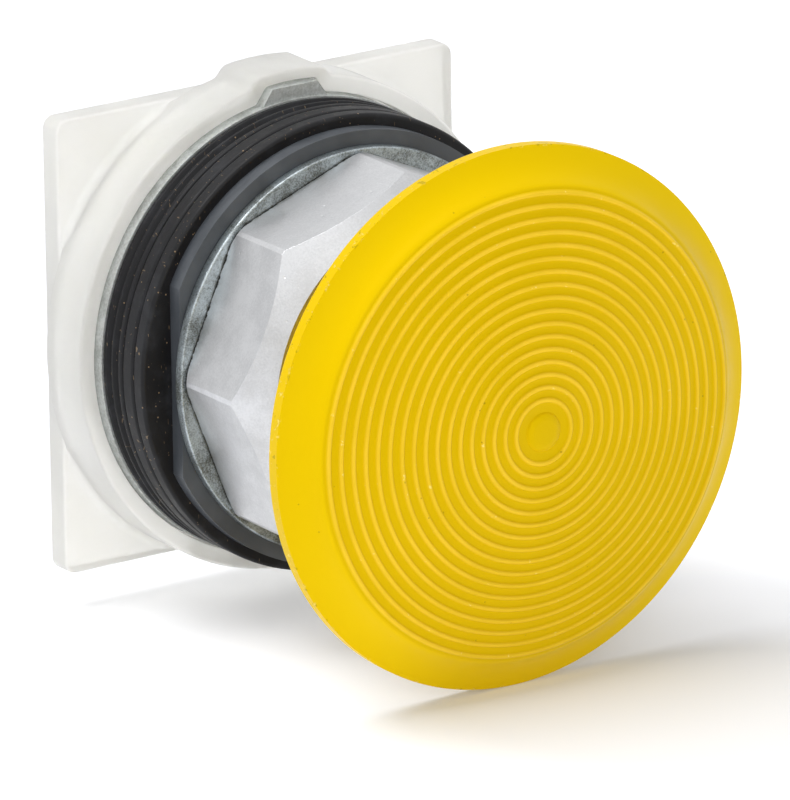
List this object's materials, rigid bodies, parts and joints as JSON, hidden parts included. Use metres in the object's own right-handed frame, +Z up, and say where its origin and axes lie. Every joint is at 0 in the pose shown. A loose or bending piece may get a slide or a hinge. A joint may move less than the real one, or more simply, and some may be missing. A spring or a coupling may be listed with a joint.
{
  "type": "mushroom head push button operator",
  "caption": "Panel push button with a ridged mushroom head on a spring plunger, an eight-sided ring nut, washers, gaskets and a square slip-on rear cap.",
  "frame": {"origin": "on the button's axis, at the panel seat: the front face of the gasket stack, which the back of the panel meets", "axes": "-Y out of the panel towards the operator (head), +Y into the enclosure, +Z up through the panel key, +X to the operator's right"},
  "size_m": [0.0516, 0.0499, 0.0516],
  "materials": {
    "yellow_head": "smooth moulded yellow plastic with a satin gloss",
    "brass": "turned brass",
    "steel": "zinc plated steel",
    "spring_steel": "oiled spring wire",
    "plunger_plastic": "black acetal",
    "foot_plastic": "natural nylon",
    "zinc_casting": "as-cast zinc, fine grain",
    "rubber": "black nitrile rubber",
    "trim_plastic": "slate grey plastic",
    "zinc_plate": "bright zinc plate with a bluish cast",
    "chrome": "satin chrome over a cast nut",
    "cap_plastic": "translucent milky polyethylene"
  },
  "bodies": {
    "operator": {"operator_body": "zinc_casting", "guide_bushing": "brass", "wiper_seal": "rubber", "panel_key": "steel", "contact_insert_left": "brass", "contact_insert_right": "brass", "gasket_front": "rubber", "gasket_middle": "rubber", "gasket_rear": "rubber", "trim_washer": "trim_plastic", "spring_seat_rear": "steel", "stem_bumper": "rubber", "return_spring": "spring_steel"},
    "spring_follower": {"spring_seat_front": "steel"},
    "plunger": {"mushroom_head": "yellow_head", "head_insert": "brass", "head_lock_washer": "steel", "plunger_guide": "plunger_plastic", "plunger_o_ring": "rubber", "plunger_stem": "steel", "stop_washer": "steel", "retaining_clip": "spring_steel", "actuator_foot": "foot_plastic", "foot_screw": "steel"},
    "thrust_ring": {"thrust_washer": "zinc_plate"},
    "nut": {"ring_nut": "chrome"},
    "cap": {"rear_cap": "cap_plastic"}
  },
  "joints": [
    {"name": "press", "type": "slide", "parent": "operator", "child": "spring_follower", "axis": [0, 1, 0], "range_m": [0, 0.0055], "stiffness_N_per_m": 1500, "springref_m": -0.006, "deforming": ["return_spring"]},
    {"name": "head_turn", "type": "hinge", "parent": "spring_follower", "child": "plunger", "pos_m": [0, 0, 0], "axis": [0, -1, 0], "continuous": true},
    {"name": "nut_advance", "type": "slide", "parent": "operator", "child": "thrust_ring", "axis": [0, -1, 0], "range_m": [0, 0.003]},
    {"name": "nut_turn", "type": "hinge", "parent": "thrust_ring", "child": "nut", "pos_m": [0, 0, 0], "axis": [0, -1, 0], "range_deg": [0, 720]},
    {"name": "cap_pull", "type": "slide", "parent": "operator", "child": "cap", "axis": [0, 1, 0], "range_m": [0, 0.02]}
  ],
  "couplings": [
    {"joint": "nut_advance", "follows": "nut_turn", "m_per_rad": 0.00023873}
  ]
}
